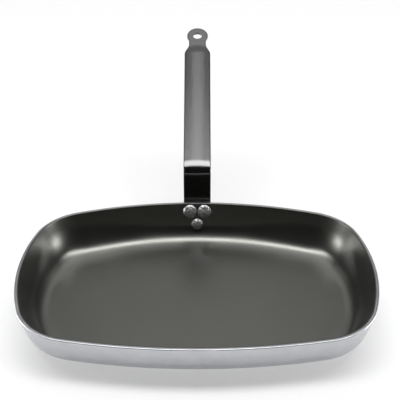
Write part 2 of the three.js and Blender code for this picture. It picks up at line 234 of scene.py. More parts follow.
def plan_stations():
    """Rows of centre x, centre y, radius and outward angle, walked anticlockwise from +X, and of the
    shares in which a station has a corner's wall and a long side's foot. Along a side the corner's
    share grows from 0, once the plain middle is passed, to 1 at the side's ends, and along an end
    of the pan the long side's share does so too."""
    half, full = np.pi, 2 * np.pi
    arcs = [
        (short_centre, SHORT_RADIUS, -front_short, back_short, SHORT_STEPS),
        (back_corner, CORNER_RADIUS, back_short, back_long, CORNER_STEPS),
        (back_centre, BACK_RADIUS, back_long, half - back_long, LONG_STEPS),
        (back_corner * (-1, 1), CORNER_RADIUS, half - back_long, half - back_short, CORNER_STEPS),
        (-short_centre, SHORT_RADIUS, half - back_short, half + front_short, SHORT_STEPS),
        (-front_corner, CORNER_RADIUS, half + front_short, half + front_long, CORNER_STEPS),
        (-front_centre, FRONT_RADIUS, half + front_long, full - front_long, LONG_STEPS),
        (front_corner * (1, -1), CORNER_RADIUS, full - front_long, full - front_short, CORNER_STEPS),
    ]
    rows = []
    for (x, y), radius, start, stop, steps in arcs:
        angle = np.linspace(start, stop, steps, endpoint=False)
        from_middle = np.abs(np.linspace(-1.0, 1.0, steps, endpoint=False))
        corner = smooth_step(from_middle, PLAIN_SHARE, 1.0) if radius > CORNER_RADIUS else angle * 0 + 1
        long = corner if steps == SHORT_STEPS else angle * 0 + 1
        rows.append(np.stack([angle * 0 + x, angle * 0 + y, angle * 0 + radius, angle, corner, long]))
    return np.concatenate(rows, axis=1)


plan_x, plan_y, plan_radius, plan_angle, corner_share, long_share = plan_stations()
print(len(plan_angle), "stations round the rim")


# %% [markdown]
# ## The half section
# Cut through its wall, the pan shows a flat floor, a foot and a straight sloping wall, with a floor
# that the press left thinner than the wall. Outside, the foot is one round edge. Inside, the fillet
# runs out flat into the floor on the long sides, and in the corners it runs more gently into the
# wall, where the sheet had to stretch most. A foot drawn as a chain of short arcs can follow all of
# that with one formula. The section is carried round the outline by taking its inset off every arc's
# radius. The flat floor shrinks towards the middle instead, since an inset larger than the corner
# radius would turn the corners inside out.


# %% Section and its sweep
FOOT_STEPS, WALL_STEPS, FLOOR_RINGS = 36, 16, 14
RUN_OUT_RADIUS, RUN_OUT_SLOPES = 80.0, np.radians([8.0, 12.0])
CORNER_FILLET, CORNER_WALL_RADIUS, CORNER_SLOPES = 20.0, 62.0, np.radians([43.0, 58.0])

foot_slope = np.linspace(0.0, np.pi / 2 - WALL_SLOPE, FOOT_STEPS + 1)
step_slope = (foot_slope[1:] + foot_slope[:-1])[:, None] / 2


def section_of(radius, inside, floor_height, top_depth):
    """Insets and depths under the rim of a skin, with a column for each column of foot radii.

    The foot is a chain of short arcs: while the slope goes from a to b, an arc reaches outwards by
    radius * (sin b - sin a) and rises by radius * (cos a - cos b). The straight wall follows."""
    start = np.zeros((1, radius.shape[1]))
    reach = np.concatenate([start, np.cumsum(radius * np.diff(np.sin(foot_slope))[:, None], axis=0)])
    rise = np.concatenate([start, np.cumsum(-radius * np.diff(np.cos(foot_slope))[:, None], axis=0)])
    rim_inset = inside / np.cos(WALL_SLOPE)
    foot_depth = PAN_HEIGHT - floor_height - rise
    foot_inset = rim_inset + foot_depth[-1] * np.tan(WALL_SLOPE) + reach[-1] - reach
    depth = np.linspace(foot_depth[-1], top_depth, WALL_STEPS + 1)[1:]
    wall = np.stack([rim_inset + depth * np.tan(WALL_SLOPE), depth])
    return np.concatenate([np.stack([foot_inset, foot_depth]), wall], axis=1)


def outer_section(top_depth):
    """The outer skin, with one round base edge."""
    return section_of(np.full((FOOT_STEPS, 1), BASE_EDGE_ROUND), 0.0, 0.0, top_depth)


def inner_section(inside, top_depth, corner, long):
    """A skin inside the pan, by the shares of a corner's wall and of a long side's foot.

    On the long sides the fillet runs out flat into the floor, and in the corners it is tighter at
    the floor and runs gently into the wall."""
    closer = WALL_THICKNESS - inside
    foot = FLOOR_FILLET + (CORNER_FILLET - FLOOR_FILLET) * corner
    into_wall = (CORNER_WALL_RADIUS - CORNER_FILLET) * smooth_step(step_slope, *CORNER_SLOPES)
    run_out = (RUN_OUT_RADIUS - FLOOR_FILLET) * (1 - smooth_step(step_slope, *RUN_OUT_SLOPES))
    radius = foot + into_wall * corner + run_out * long + closer
    return section_of(radius, inside, FLOOR_THICKNESS - closer, top_depth)


def sweep(*stretches):
    """Rings of a section round the outline: centre + (radius - inset) * direction, at a height.

    The section comes in stretches, each the same all round or with its own column per station."""
    columns = [s if s.ndim == 3 else s[:, :, None] for s in stretches]
    full = [np.broadcast_to(s, (*s.shape[:2], len(plan_angle))) for s in columns]
    inset, depth = np.concatenate(full, axis=1)
    x = plan_x + (plan_radius - inset) * np.cos(plan_angle)
    y = plan_y + (plan_radius - inset) * np.sin(plan_angle)
    return np.stack([x, y, PAN_HEIGHT - depth], axis=-1)


def floor_rings(edge_ring):
    """Copies of the floor's edge that shrink towards the middle, from small to nearly full size."""
    share = np.linspace(0.04, 1.0, FLOOR_RINGS, endpoint=False)[:, None, None]
    return edge_ring * np.array([1.0, 1.0, 0.0]) * share + edge_ring * np.array([0.0, 0.0, 1.0])


print("wall foot at inset and depth", outer_section(0.0)[:, FOOT_STEPS, 0].round(1))

# %% [markdown]
# ## The aluminium body
# The tray is pressed from one thick sheet of aluminium, trimmed and eased along the rim. The outside
# and the inside are two skins a wall's thickness apart, and the rim between them is two small arcs
# and a flat. The metal stops a little below the film, which rolls over the rim's inner edge.

# %% Body
RIM_OUTER_ROUND, RIM_INNER_ROUND = 1.1, 0.9
FILM_THICKNESS, FILM_GAP = 0.4, 0.1
RIM_STEPS = 8
METAL_TOP = FILM_THICKNESS * 0.75


def rim_arc(corner_inset, top, radius, lean):
    """Arc that eases the rim: tangent to the flat top and to a wall that leans by an angle.

    The arc's centre is a radius under the top and radius / tan(half the corner) from the corner.
    A positive lean is the outer edge, from the wall to the top, a negative one the inner edge."""
    half_corner = (np.pi / 2 - lean) / 2
    away = radius / np.tan(half_corner) * np.sign(lean)
    turn = np.linspace(-lean, np.pi / 2, RIM_STEPS + 1)
    inset = corner_inset + away - np.sign(lean) * radius * np.cos(turn)
    return np.stack([inset, top + radius - radius * np.sin(turn)])


outer_arc = rim_arc(METAL_TOP * np.tan(WALL_SLOPE), METAL_TOP, RIM_OUTER_ROUND, WALL_SLOPE)
inner_corner = WALL_THICKNESS / np.cos(WALL_SLOPE) + METAL_TOP * np.tan(WALL_SLOPE)
inner_arc = rim_arc(inner_corner, METAL_TOP, RIM_INNER_ROUND, -WALL_SLOPE)
outside = outer_section(outer_arc[1, 0])
inside = inner_section(WALL_THICKNESS, inner_arc[1, 0], corner_share, long_share)
body_rings = sweep(outside[:, :-1], outer_arc, inner_arc[:, ::-1], inside[:, -2::-1])
pan_body = closed_piece("roasting_pan_body", np.concatenate(
    [floor_rings(body_rings[0]), body_rings, floor_rings(body_rings[-1])[::-1]]))

# %% [markdown]
# ## The non-stick film
# The film is sprayed onto the inside and baked. It covers the floor, the fillet and the wall, rolls
# over the inner edge of the rim and ends on top of it in a soft line. It is a thin closed shell
# between two skins, thicker than the real film so that it can be seen and printed.

# %% Film
FILM_END = 3.5
FILM_END_STEPS = 6

film_under = WALL_THICKNESS + FILM_GAP
film_over = film_under + FILM_THICKNESS
under_top = METAL_TOP - FILM_GAP / 2
under_corner = film_under / np.cos(WALL_SLOPE) + under_top * np.tan(WALL_SLOPE)
under_arc = rim_arc(under_corner, under_top, RIM_INNER_ROUND + FILM_GAP, -WALL_SLOPE)
over_arc = rim_arc(film_over / np.cos(WALL_SLOPE), 0.0, RIM_INNER_ROUND + under_top, -WALL_SLOPE)
end_turn = np.linspace(np.pi / 2, -np.pi / 2, FILM_END_STEPS + 1)
end_round = under_top / 2
film_end = np.stack([FILM_END - end_round * np.cos(end_turn), end_round * (1 - np.sin(end_turn))])
over_skin = inner_section(film_over, over_arc[1, 0], corner_share, long_share)
under_skin = inner_section(film_under, under_arc[1, 0], corner_share, long_share)
film_rings = sweep(over_skin[:, :-1], over_arc, film_end, under_arc[:, ::-1], under_skin[:, -2::-1])
film = closed_piece("nonstick_film", np.concatenate(
    [floor_rings(film_rings[0]), film_rings, floor_rings(film_rings[-1])[::-1]]))

# %% [markdown]
# ## The rivets
# Three solid rivets hold the strip: two under the rim and a smaller one below. Each is a body of
# revolution, a domed head inside the pan, a shank through the wall and a flatter head that the
# riveting press formed behind the strip. A profile turned about the shank gives all three. They sit
# square to the sloping wall, so their points are written in the wall's own directions first.

# %% The wall's directions
wall_origin = np.array([0.0, PAN_WIDTH / 2, PAN_HEIGHT])
wall_out = np.array([0.0, np.cos(WALL_SLOPE), -np.sin(WALL_SLOPE)])
wall_up = np.array([0.0, np.sin(WALL_SLOPE), np.cos(WALL_SLOPE)])


def on_wall(x, out, up):
    """Points at x along the rim, a distance out of the wall's outer skin and a distance up it."""
    x, out, up = np.broadcast_arrays(x, out, up)
    along_x = np.array([1.0, 0.0, 0.0])
    return (wall_origin + x[..., None] * along_x + out[..., None] * wall_out
            + up[..., None] * wall_up)


print("middle of the back wall:", on_wall(0.0, 0.0, -PAN_HEIGHT / 2).round(1))

# %% Rivets
STRIP_THICKNESS = 3.5
SEAT_GAP = 0.3
SHANK_DIAMETER, SHANK_CLEARANCE = 6.0, 0.3
UPPER_DROP, ROW_PITCH, UPPER_SPACING = 11.0, 15.6, 17.2
UPPER_HEAD, LOWER_HEAD, HEAD_EDGE, HEAD_DOME = 16.3, 14.0, 0.7, 3.0
FORMED_HEAD, FORMED_EDGE, FORMED_DOME = 10.5, 0.5, 1.8
HEAD_EASE = 0.35
DOME_STEPS, EASE_STEPS, TURN_STEPS = 18, 5, 72

rivet_places = {
    "rivet_upper_left": (-UPPER_SPACING / 2, UPPER_DROP, UPPER_HEAD),
    "rivet_upper_right": (UPPER_SPACING / 2, UPPER_DROP, UPPER_HEAD),
    "rivet_lower": (0.0, UPPER_DROP + ROW_PITCH, LOWER_HEAD),
}


def head_seat(x, drop, head):
    """How far a head's seat stands in from the wall's outer skin.

    The bowed side leans in as it leaves the middle, and the floor fillet leans in below the
    straight wall, so the seat clears the film under the head's far edge."""
    side = abs(x) + head / 2
    bow_radius = BACK_RADIUS - film_over
    bow = bow_radius - np.sqrt(bow_radius**2 - side**2)
    section = inner_section(film_over, 0.0, np.zeros(1), np.ones(1))[:, :, 0]
    rim_to_foot = np.hypot(*(section[:, FOOT_STEPS] - section[:, -1]))
    straight = film_over * np.tan(WALL_SLOPE) + rim_to_foot
    fillet = FLOOR_FILLET + WALL_THICKNESS - film_over
    past = max(0.0, drop + head / 2 - straight)
    return -(film_over + SEAT_GAP + bow + fillet - np.sqrt(fillet**2 - past**2))


def head_profile(diameter, edge, dome):
    """Radii and rises of a head: a round cap of a given rise on a short edge with an eased corner."""
    radius = diameter / 2
    sphere = (radius**2 + dome**2) / (2 * dome)
    reach = np.arcsin(radius / sphere)
    turn = np.linspace(0.0, reach, DOME_STEPS)[:-1]
    cap = np.stack([sphere * np.sin(turn), edge + dome - sphere * (1 - np.cos(turn))])
    ease = np.linspace(np.pi / 2 - reach, -np.pi / 2, EASE_STEPS)
    side = np.stack([radius - HEAD_EASE * (1 - np.cos(ease)), edge / 2 + HEAD_EASE * np.sin(ease)])
    return np.concatenate([cap[:, 1:], side], axis=1)


def rivet_rings(x, drop, head):
    """The profile turned about the shank: x = radius cos, up = radius sin, out along the axis."""
    seat, formed_seat = head_seat(x, drop, head), SEAT_GAP * 2 + STRIP_THICKNESS
    domed = head_profile(head, HEAD_EDGE, HEAD_DOME)
    formed = head_profile(FORMED_HEAD, FORMED_EDGE, FORMED_DOME)[:, ::-1]
    shank = np.array([[SHANK_DIAMETER / 2] * 2, [seat, formed_seat]])
    radius = np.concatenate([domed[0], shank[0], formed[0]])[:, None]
    out = np.concatenate([seat - domed[1], shank[1], formed_seat + formed[1]])[:, None]
    turn = np.linspace(0.0, 2 * np.pi, TURN_STEPS, endpoint=False)
    return on_wall(x + radius * np.cos(turn), out, radius * np.sin(turn) - drop)


rivets = [closed_piece("solid_" + name, rivet_rings(*place)) for name, place in rivet_places.items()]

# %% [markdown]
# ## The strip handle
# The handle is one flat steel strip, stamped to its outline and then bent: a tang against the wall,
# an upright, a sharp bend that eases off, and a long, nearly straight grip that ends in a neck and
# an eye. The middle line is a chain of legs that each turn steadily to a heading, so it is fully
# given by a few lengths and slopes. Walking each leg along its chord gives the exact point on its arc.

# %% The strip's middle line
TANG_BELOW_RIM, TANG_ABOVE_RIM = 35.1, 2.0
UPRIGHT_HEADING, UPRIGHT_BEND_RADIUS, UPRIGHT_LENGTH = np.radians(88.0), 25.0, 28.2
GRIP_BEND_RADIUS, GRIP_EASE_RADIUS, GRIP_EASE_SLOPE = 9.0, 55.0, np.radians(32.0)
GRIP_START_SLOPE, GRIP_END_SLOPE, GRIP_LENGTH = np.radians(22.0), np.radians(21.0), 232.5

TANG_HEADING = np.pi / 2 - WALL_SLOPE
legs = [
    (TANG_BELOW_RIM + TANG_ABOVE_RIM, TANG_HEADING),
    (UPRIGHT_BEND_RADIUS * abs(UPRIGHT_HEADING - TANG_HEADING), UPRIGHT_HEADING),
    (UPRIGHT_LENGTH, UPRIGHT_HEADING),
    (GRIP_BEND_RADIUS * abs(UPRIGHT_HEADING - GRIP_EASE_SLOPE), GRIP_EASE_SLOPE),
    (GRIP_EASE_RADIUS * abs(GRIP_EASE_SLOPE - GRIP_START_SLOPE), GRIP_START_SLOPE),
    (GRIP_LENGTH, GRIP_END_SLOPE),
]
leg_ends = np.cumsum([length for length, _ in legs])
tang_end = on_wall(0.0, SEAT_GAP + STRIP_THICKNESS / 2, -TANG_BELOW_RIM)


def strip_middle(distance):
    """Points and headings of the middle line at distances from the tang's end.

    On each leg the heading grows evenly, and the chord of an arc of length s that turns by 2a is
    s * sin(a) / a, in the direction of the heading half way."""
    y = np.full(distance.shape, tang_end[1])
    z = np.full(distance.shape, tang_end[2])
    heading = np.full(distance.shape, TANG_HEADING)
    start, from_heading = 0.0, TANG_HEADING
    for length, to_heading in legs:
        walked = np.clip(distance - start, 0.0, length)
        half_turn = (to_heading - from_heading) * walked / length / 2
        chord = walked * np.sinc(half_turn / np.pi)
        y += chord * np.cos(from_heading + half_turn)
        z += chord * np.sin(from_heading + half_turn)
        heading += 2 * half_turn
        start, from_heading = start + length, to_heading
    return y, z, heading


print("strip length", round(leg_ends[-1], 1), "mm, tip at", [round(float(v), 1) for v in
      strip_middle(leg_ends[-1:])[0]])

# %% [markdown]
# ## The strip's outline
# Laid flat, the strip has round corners at the tang, sides that widen a little towards the far end,
# shoulders that ease down to the neck and a ring whose tip is slightly oval. Each stretch gives the
# half width and the direction in which the edge faces. That direction is needed because the edges
# are rounded: a rounded edge lies inside the outline along its facing direction, also round the
# ring's tip where it faces along the strip.

# %% Outline of the flat strip
STRIP_WIDTH, GRIP_END_WIDTH, EDGE_ROUND, CROWN = 32.5, 34.0, 1.2, 1.2
TANG_CORNER = 10.0
EYE_RADIUS, EYE_TIP_REACH, EYE_HOLE_RADIUS, NECK_HALF = 13.9, 15.5, 6.0, 11.25
NECK_LENGTH, SHOULDER_LENGTH = 17.0, 18.0

half_width, end_half = STRIP_WIDTH / 2, GRIP_END_WIDTH / 2
tip_at = leg_ends[-1]
eye_at = tip_at - EYE_TIP_REACH
neck_at = eye_at - NECK_LENGTH
shoulder_at = neck_at - SHOULDER_LENGTH
ring_from = np.pi - np.arcsin(NECK_HALF / EYE_RADIUS)


def strip_outline():
    """Rows of distance, half width and the edge's facing direction along and across the strip."""
    corner = np.linspace(0.0, np.pi / 2, 14, endpoint=False)
    tang = [TANG_CORNER * (1 - np.cos(corner)), half_width - TANG_CORNER * (1 - np.sin(corner)),
            -np.cos(corner), np.sin(corner)]
    bends = [np.linspace(TANG_CORNER, leg_ends[0], 10, endpoint=False),
             np.linspace(leg_ends[0], leg_ends[1], 8, endpoint=False),
             np.linspace(leg_ends[1], leg_ends[2], 16, endpoint=False),
             np.linspace(leg_ends[2], leg_ends[3], 20, endpoint=False),
             np.linspace(leg_ends[3], leg_ends[4], 16, endpoint=False),
             np.linspace(leg_ends[4], shoulder_at, 70, endpoint=False)]
    straight = np.concatenate(bends)
    widening = np.clip((straight - leg_ends[4]) / (shoulder_at - leg_ends[4]), 0.0, 1.0)
    sides = [straight, half_width + (end_half - half_width) * widening, straight * 0, straight * 0 + 1]
    at = np.linspace(shoulder_at, neck_at, 24, endpoint=False)
    t = (at - shoulder_at) / SHOULDER_LENGTH
    slope = (NECK_HALF - end_half) * 6 * t * (1 - t) / SHOULDER_LENGTH
    steep = np.hypot(1.0, slope)
    shoulder = [at, end_half + (NECK_HALF - end_half) * smooth_step(t, 0.0, 1.0),
                -slope / steep, 1 / steep]
    at = np.linspace(neck_at, eye_at + EYE_RADIUS * np.cos(ring_from), 8)
    neck = [at, at * 0 + NECK_HALF, at * 0, at * 0 + 1]
    facing = np.linspace(np.pi / 2, ring_from, 6)[1:-1]
    inner_corner = [facing * 0 + neck[0][-1], facing * 0 + NECK_HALF, np.cos(facing), np.sin(facing)]
    turn = np.linspace(ring_from, 0.0, 44)
    reach = np.where(turn < np.pi / 2, EYE_TIP_REACH, EYE_RADIUS)
    along, across = np.cos(turn) / reach, np.sin(turn) / EYE_RADIUS
    steep = np.hypot(along, across)
    ring = [eye_at + reach * np.cos(turn), EYE_RADIUS * np.sin(turn), along / steep, across / steep]
    return np.concatenate([tang, sides, shoulder, neck, inner_corner, ring], axis=1)


outline = strip_outline()
print(outline.shape[1], "rows along the strip, neck at", round(neck_at, 1), "eye at", round(eye_at, 1))

# %% [markdown]
# ## The strip as a surface
# Each row of the outline becomes one closed section: across the upper face, round the right edge,
# back under the lower face and round the left edge. At the tang's square end more rows follow, in
# which the section closes like a zip over the rounded end. The sections are then laid on the middle
# line, and the grip gets its slight crown, which is what draws the pale stripe along its middle. The
# crown fades out on the upright and at the shoulders, where the strip is flat.

# %% Sections on the middle line
FACE_POINTS, EDGE_POINTS, CLOSING_ROWS = 26, 14, 9


def edge_profile(share):
    """Reach outwards and rise of the rounded edge at a share of its way from upper to lower face.

    The way is a quarter circle, a short straight side and a quarter circle."""
    level = STRIP_THICKNESS / 2 - EDGE_ROUND
    arc, side = EDGE_ROUND * np.pi / 2, 2 * level
    walked = share * (2 * arc + side)
    down = np.clip(walked - arc, 0.0, side)
    turn = (np.clip(walked, 0.0, arc) + np.clip(walked - arc - side, 0.0, arc)) / EDGE_ROUND
    return EDGE_ROUND * np.sin(turn), EDGE_ROUND * np.cos(turn) + level - down


def strip_rings():
    """Sections along the strip as points: middle + across * X + rise * normal."""
    across = np.linspace(-1.0, 1.0, FACE_POINTS)
    share = np.linspace(0.0, 1.0, EDGE_POINTS + 2)[1:-1]
    side = np.concatenate([across, share * 0 + 1, across[::-1], share * 0 - 1])
    way = np.concatenate([across * 0, share, across * 0 + 1, share[::-1]])

    closing = np.linspace(0.5, 0.0, CLOSING_ROWS, endpoint=False)
    rows = np.concatenate([np.repeat(outline[:, :1], CLOSING_ROWS, axis=1), outline], axis=1)
    least = np.concatenate([closing, np.zeros(outline.shape[1])])[:, None]
    at, half, facing_along, facing_across = rows[:, :, None]
    reach, rise = edge_profile(np.clip(way, least, 1 - least))

    distance = at + (reach - EDGE_ROUND) * facing_along
    x = side * (half - EDGE_ROUND * facing_across)
    x = x + np.where(np.abs(side) == 1, np.sign(side) * reach * facing_across, 0.0)
    crown = CROWN * smooth_step(distance, leg_ends[1], leg_ends[2])
    crown = crown * (1 - smooth_step(distance, shoulder_at, neck_at))
    rise = rise + crown * (1 - np.clip(x / np.maximum(half, EDGE_ROUND), -1, 1) ** 2)
    y, z, heading = strip_middle(distance)
    return np.stack([x, y - np.sin(heading) * rise, z + np.cos(heading) * rise], axis=-1)


handle = closed_piece("strip_handle", strip_rings(), fans=False)

# %% [markdown]
# ## Holes
# The rivets need holes, and the eye is a stamped hole with eased edges. A Boolean modifier cuts them:
# the cutter for the eye is turned like a cotton reel, wider at both faces, so that the cut leaves a
# rounded edge. The result is applied to the mesh, doubles are merged and the cutters are removed.


# %% Cutters
def turned_cutter(name, radius, height, centre, axis, up):
    """A profile turned about an axis: centre + height * axis + radius * (cos * X + sin * up)."""
    turn = np.linspace(0.0, 2 * np.pi, TURN_STEPS, endpoint=False)
    flat = np.cos(turn)[:, None] * np.array([1.0, 0.0, 0.0]) + np.sin(turn)[:, None] * up
    rings = centre + height[:, None, None] * axis + radius[:, None, None] * flat
    return closed_piece(name, rings)


rivet_cutters = []
for name, (x, drop, head) in rivet_places.items():
    reach = np.array([head_seat(x, drop, head) - HEAD_DOME, STRIP_THICKNESS + FORMED_DOME])
    size = np.full(2, SHANK_DIAMETER / 2 + SHANK_CLEARANCE)
    rivet_cutters.append(turned_cutter("hole_" + name, size, reach, on_wall(x, 0.0, -drop),
                                       wall_out, wall_up))

EYE_EASE, EYE_EASE_TURN = 0.4, np.radians(80.0)
eye_y, eye_z, eye_heading = (float(v[0]) for v in strip_middle(np.array([eye_at])))
eye_axis = np.array([0.0, -np.sin(eye_heading), np.cos(eye_heading)])
eye_along = np.array([0.0, np.cos(eye_heading), np.sin(eye_heading)])
flare = np.linspace(0.0, EYE_EASE_TURN, 8)
flare_radius = EYE_HOLE_RADIUS + EYE_EASE * (1 - np.cos(flare))
flare_height = STRIP_THICKNESS / 2 - EYE_EASE * np.sin(EYE_EASE_TURN) + EYE_EASE * np.sin(flare)
past_face = STRIP_THICKNESS
reel_radius = np.concatenate([flare_radius, flare_radius[-1:]])
reel_height = np.concatenate([flare_height, [past_face]])
eye_cutter = turned_cutter(
    "hole_eye", np.concatenate([reel_radius[::-1], reel_radius]),
    np.concatenate([-reel_height[::-1], reel_height]),
    np.array([0.0, eye_y, eye_z]), eye_axis, eye_along)


# %% Cutting
SHARP_ANGLE = np.radians(40.0)
MERGE_DISTANCE = 1e-6


def merge_doubles(piece):
    """Merge points that lie on each other, which closes zips and drops faces without an area."""
    shell = bmesh.new()
    shell.from_mesh(piece.data)
    bmesh.ops.remove_doubles(shell, verts=shell.verts, dist=MERGE_DISTANCE)
    bmesh.ops.dissolve_degenerate(shell, edges=shell.edges, dist=MERGE_DISTANCE)
    open_edges = sum(not edge.is_manifold for edge in shell.edges)
    shell.to_mesh(piece.data)
    shell.free()
    return open_edges


def cut_holes(piece, cutters):
    """Subtract every cutter from the piece, keep the result as its mesh and leave no modifier."""
    for cutter in cutters:
        step = piece.modifiers.new("hole", "BOOLEAN")
        step.operation = "DIFFERENCE"
        step.solver = "EXACT"
        step.object = cutter
    graph = bpy.context.evaluated_depsgraph_get()
    cut = bpy.data.meshes.new_from_object(piece.evaluated_get(graph))
    piece.modifiers.clear()
    piece.data = cut
    open_edges = merge_doubles(piece)
    cut.set_sharp_from_angle(angle=SHARP_ANGLE)
    print(f"{piece.name}: {len(cut.polygons)} faces after cutting, {open_edges} open edges")


print("open edges before cutting:", merge_doubles(handle))
cut_holes(handle, [*rivet_cutters, eye_cutter])
cut_holes(pan_body, rivet_cutters)
cut_holes(film, rivet_cutters)
for cutter in [*rivet_cutters, eye_cutter]:
    bpy.data.objects.remove(cutter)
for rivet in rivets:
    rivet.data.set_sharp_from_angle(angle=SHARP_ANGLE)

# %% [markdown]
# ## Writing materials in code
# A material is a small graph of nodes. One helper adds a node, sets its properties and either fills
# or links its sockets. Colours are written as the sRGB values that a person would read off a screen
# and turned to linear light once. A pattern's scale is the number of its features in a metre, so it
# follows from the feature's real size in millimetres.


# %% Node helper
def add_node(tree, kind, sockets=None, **settings):
    """Add one node: settings are its properties, sockets are values to set or outputs to link."""
    made = tree.nodes.new(kind)
    for name, value in settings.items():
        setattr(made, name, value)
    for name, value in (sockets or {}).items():
        if isinstance(value, bpy.types.NodeSocket):
            tree.links.new(value, made.inputs[name])
        else:
            made.inputs[name].default_value = value
    return made


def linear(hex_colour):
    """sRGB hex to linear RGBA: c / 12.92 below 0.04045, else ((c + 0.055) / 1.055) ^ 2.4."""
    c = np.array([int(hex_colour[i:i + 2], 16) for i in (1, 3, 5)]) / 255
    c = np.where(c <= 0.04045, c / 12.92, ((c + 0.055) / 1.055) ** 2.4)
    return (*c.tolist(), 1.0)


def per_metre(size_mm):
    """Texture scale at which one feature has the given size."""
    return 1.0 / (size_mm * MM)


def new_material(name):
    """A material with an empty node tree, ready for a shader."""
    material = bpy.data.materials.new(name)
    material.use_nodes = True
    material.node_tree.nodes.clear()
    return material, material.node_tree


print("mid grey in linear light:", [round(v, 3) for v in linear("#808080")])

# %% [markdown]
# ## Satin pressed aluminium
# Bare aluminium that was drawn and then satin polished is a pale, slightly bluish metal. Seen close,
# it has fine lines that run round the wall from the polishing belt and a soft mottling from the
# press. Both change the roughness more than the colour, so the reflection of the table breaks up
# while the metal keeps its tone.


# %% Aluminium of the body
def satin_aluminium():
    """Metal with belt lines along the rim, from noise stretched along the surface's own UV map."""
    material, tree = new_material("satin_pressed_aluminium")
    place = add_node(tree, "ShaderNodeUVMap", uv_map="surface").outputs["UV"]
    # Belt lines of 0.4 mm, drawn 60 times as long as they are wide
    belt = add_node(tree, "ShaderNodeMapping",
                    {"Vector": place, "Scale": (per_metre(24.0), per_metre(0.4), 1.0)}).outputs[0]
    lines = add_node(tree, "ShaderNodeTexNoise",
                     {"Vector": belt, "Scale": 1.0, "Detail": 3.0}).outputs["Fac"]
    spot = add_node(tree, "ShaderNodeTexCoord").outputs["Object"]
    mottle = add_node(tree, "ShaderNodeTexNoise",
                      {"Vector": spot, "Scale": per_metre(18.0), "Detail": 4.0}).outputs["Fac"]
    mixed = add_node(tree, "ShaderNodeMix", {"Factor": 0.35, "A": lines, "B": mottle}).outputs[0]
    rough = add_node(tree, "ShaderNodeMapRange", {
        "Value": mixed, "From Min": 0.25, "From Max": 0.75, "To Min": 0.27, "To Max": 0.43})
    tone = add_node(tree, "ShaderNodeValToRGB", {"Fac": mottle})
    tone.color_ramp.elements[0].color = linear("#bdbfc3")
    tone.color_ramp.elements[1].color = linear("#d4d5d8")
    relief = add_node(tree, "ShaderNodeBump", {
        "Height": lines, "Strength": 0.25, "Distance": 0.02 * MM}).outputs["Normal"]
    shader = add_node(tree, "ShaderNodeBsdfPrincipled", {
        "Base Color": tone.outputs["Color"], "Metallic": 1.0,
        "Roughness": rough.outputs["Result"], "Normal": relief})
    add_node(tree, "ShaderNodeOutputMaterial", {"Surface": shader.outputs[0]})
    return material


pan_body.data.materials.append(satin_aluminium())
print("pan body:", [m.name for m in pan_body.data.materials])

# %% [markdown]
# ## Baked non-stick film
# The film is a dark fluoropolymer with a little mineral filler, sprayed and baked. It is almost black
# in itself: the grey that the eye sees on the floor is the satin gloss of a surface with a fine
# orange peel, under a clear top layer. So the colour stays dark and the gloss carries the look, with
# a few paler filler specks and a slow change in roughness where the spray lay thicker. The mineral
# flakes make it shine a little more than plain plastic, with a faint warm tone.


# %% Film
def baked_film():
    """Dark dielectric with orange peel bump, filler specks and a slow change in gloss."""
    material, tree = new_material("baked_nonstick_film")
    spot = add_node(tree, "ShaderNodeTexCoord").outputs["Object"]
    # The peel of about 0.3 mm is drawn at 0.9 mm so that it still shows from an arm's length
    peel = add_node(tree, "ShaderNodeTexNoise",
                    {"Vector": spot, "Scale": per_metre(0.9), "Detail": 2.0}).outputs["Fac"]
    cloud = add_node(tree, "ShaderNodeTexNoise",
                     {"Vector": spot, "Scale": per_metre(45.0), "Detail": 3.0}).outputs["Fac"]
    speck = add_node(tree, "ShaderNodeTexVoronoi",
                     {"Vector": spot, "Scale": per_metre(1.6)}).outputs["Distance"]
    tone = add_node(tree, "ShaderNodeValToRGB", {"Fac": speck})
    tone.color_ramp.elements[0].color = linear("#1a1a19")
    tone.color_ramp.elements[1].color = linear("#050505")
    tone.color_ramp.elements[1].position = 0.22
    rough = add_node(tree, "ShaderNodeMapRange", {
        "Value": cloud, "From Min": 0.3, "From Max": 0.7, "To Min": 0.31, "To Max": 0.37})
    relief = add_node(tree, "ShaderNodeBump", {
        "Height": peel, "Strength": 0.3, "Distance": 0.05 * MM}).outputs["Normal"]
    shader = add_node(tree, "ShaderNodeBsdfPrincipled", {
        "Base Color": tone.outputs["Color"], "Roughness": rough.outputs["Result"],
        "IOR": 1.7, "Specular IOR Level": 1.0, "Specular Tint": linear("#fffff4"), "Normal": relief,
        "Coat Weight": 1.0, "Coat Roughness": 0.32, "Coat IOR": 1.5, "Coat Normal": relief})
    add_node(tree, "ShaderNodeOutputMaterial", {"Surface": shader.outputs[0]})
    return material


film.data.materials.append(baked_film())
print("film:", [m.name for m in film.data.materials])

# %% [markdown]
# ## Lacquered steel strip
# The strip is rolled steel with a thin dark satin lacquer. The rolling lines run lengthwise and still
# show through the lacquer as fine streaks, so the gloss changes across the strip but hardly along
# it. Long, shallow waves from the rolls break up the pale stripe on the crown.


